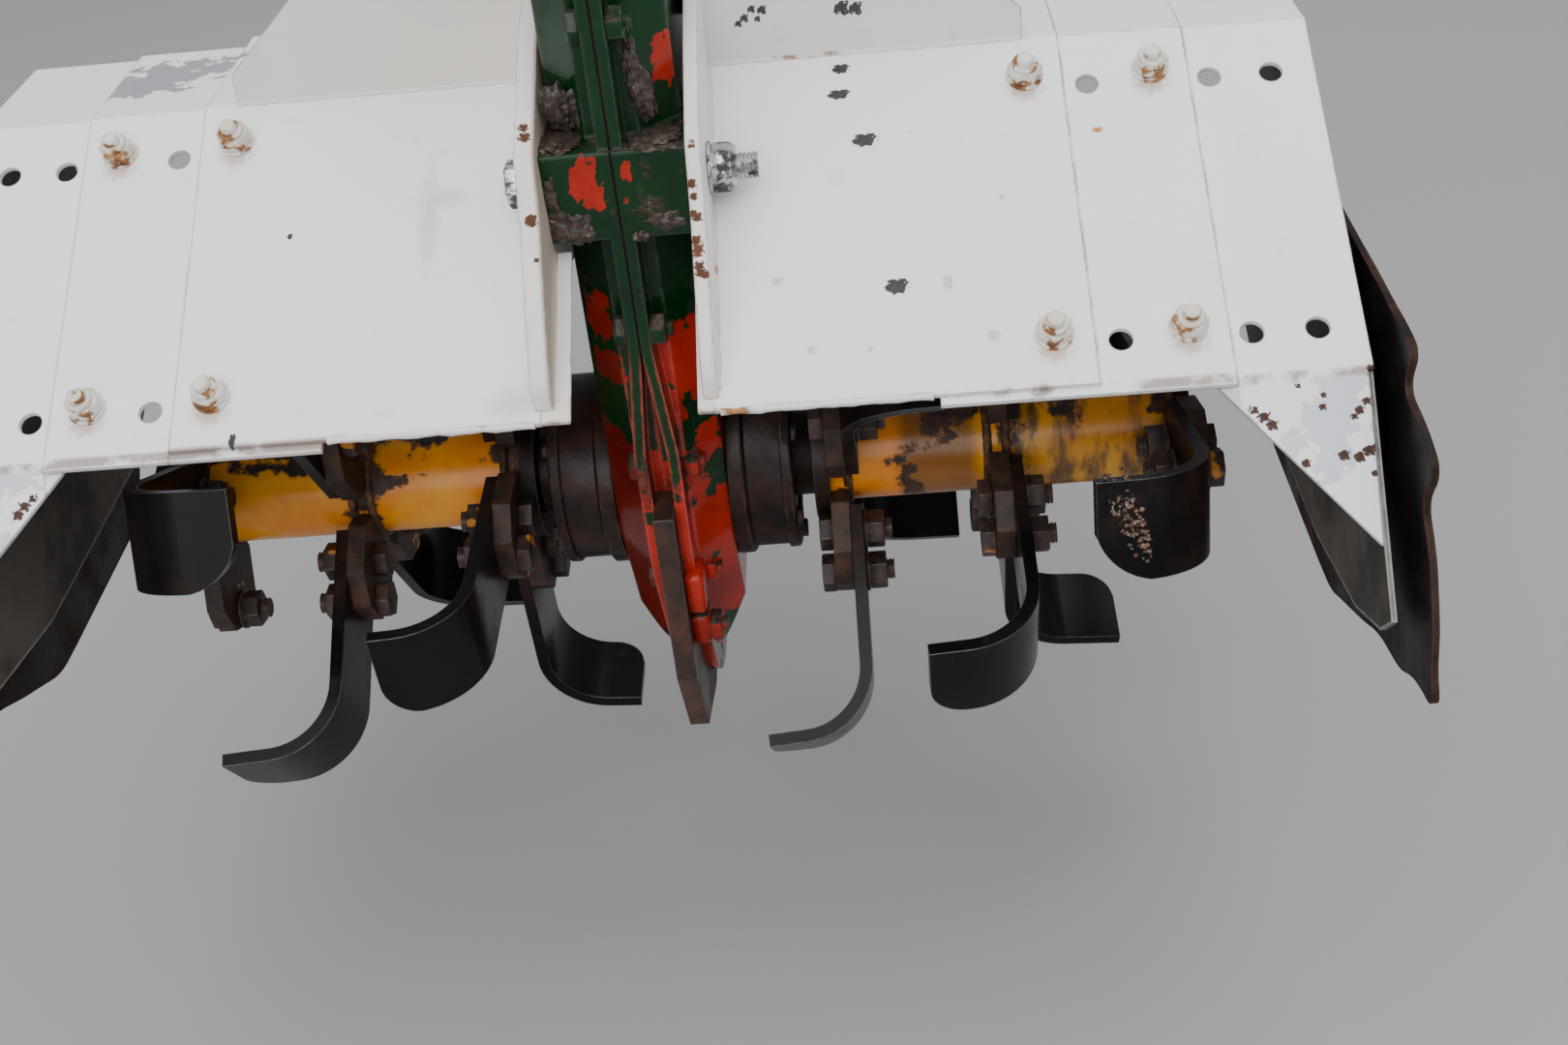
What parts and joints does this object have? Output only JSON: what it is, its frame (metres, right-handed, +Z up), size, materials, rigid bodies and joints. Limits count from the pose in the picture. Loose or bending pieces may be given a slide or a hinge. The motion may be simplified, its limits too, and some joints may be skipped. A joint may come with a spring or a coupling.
{
  "type": "row-crop rotavator unit",
  "caption": "Row unit of an inter-row rotavator: upright chain case with a cutting shoe, L-blade rotor on both sides, and a bolted sheet hood with side shields.",
  "frame": {"origin": "centre of the toolbar plate's top face", "axes": "+X along the rotor axis to the right, +Y away from the side that the hood slopes to, +Z up"},
  "size_m": [0.835, 0.5044, 0.7204],
  "materials": {
    "case_paint": "worn paint",
    "hub_iron": "rusty",
    "frame_paint": "worn paint",
    "worn_steel": "rusty, worn",
    "zinc_steel": "zinc plated",
    "shield_steel": "dark, rusty rim",
    "hood_white": "stained white paint",
    "hood_grey": "stained paint",
    "rotor_paint": "chipped orange paint",
    "blade_steel": "worn dark steel",
    "bright_steel": "satin"
  },
  "bodies": {
    "root": {"toolbar_plate": "frame_paint", "cutting_shoe": "worn_steel", "rear_cross_bolt": "zinc_steel", "front_cross_bolt": "zinc_steel", "case_half_left": "case_paint", "case_half_right": "case_paint", "bearing_hub_left": "hub_iron", "bearing_hub_right": "hub_iron", "drive_cover_left": "frame_paint", "drive_cover_right": "frame_paint", "hood_inner_plate_left": "hood_white", "hood_inner_plate_right": "hood_white", "hood_main_sheet_left": "hood_white", "hood_main_sheet_right": "hood_white", "hood_middle_extension_left": "hood_white", "hood_middle_extension_right": "hood_white", "hood_outer_extension_left": "hood_grey", "hood_outer_extension_right": "hood_grey", "hood_rib_left": "hood_white", "hood_rib_right": "hood_white", "hood_end_wall_left": "hood_grey", "hood_end_wall_right": "hood_grey", "side_shield_left": "shield_steel", "side_shield_right": "shield_steel"},
    "drive_hub": {"drive_hub": "bright_steel"},
    "rotor": {"rotor_shaft": "case_paint", "rotor_tube_left": "rotor_paint", "rotor_tube_right": "rotor_paint", "blades_left_inner": "blade_steel", "blades_left_middle": "blade_steel", "blades_left_end": "blade_steel", "blades_right_inner": "blade_steel", "blades_right_middle": "blade_steel", "blades_right_end": "blade_steel"}
  },
  "joints": [
    {"name": "drive_turn", "type": "hinge", "parent": "root", "child": "drive_hub", "pos_m": [0, 0, -0.099], "axis": [1, 0, 0], "continuous": true},
    {"name": "rotor_turn", "type": "hinge", "parent": "root", "child": "rotor", "pos_m": [0, 0, -0.519], "axis": [1, 0, 0], "continuous": true}
  ],
  "couplings": [
    {"joint": "rotor_turn", "follows": "drive_turn", "ratio": 0.8}
  ]
}
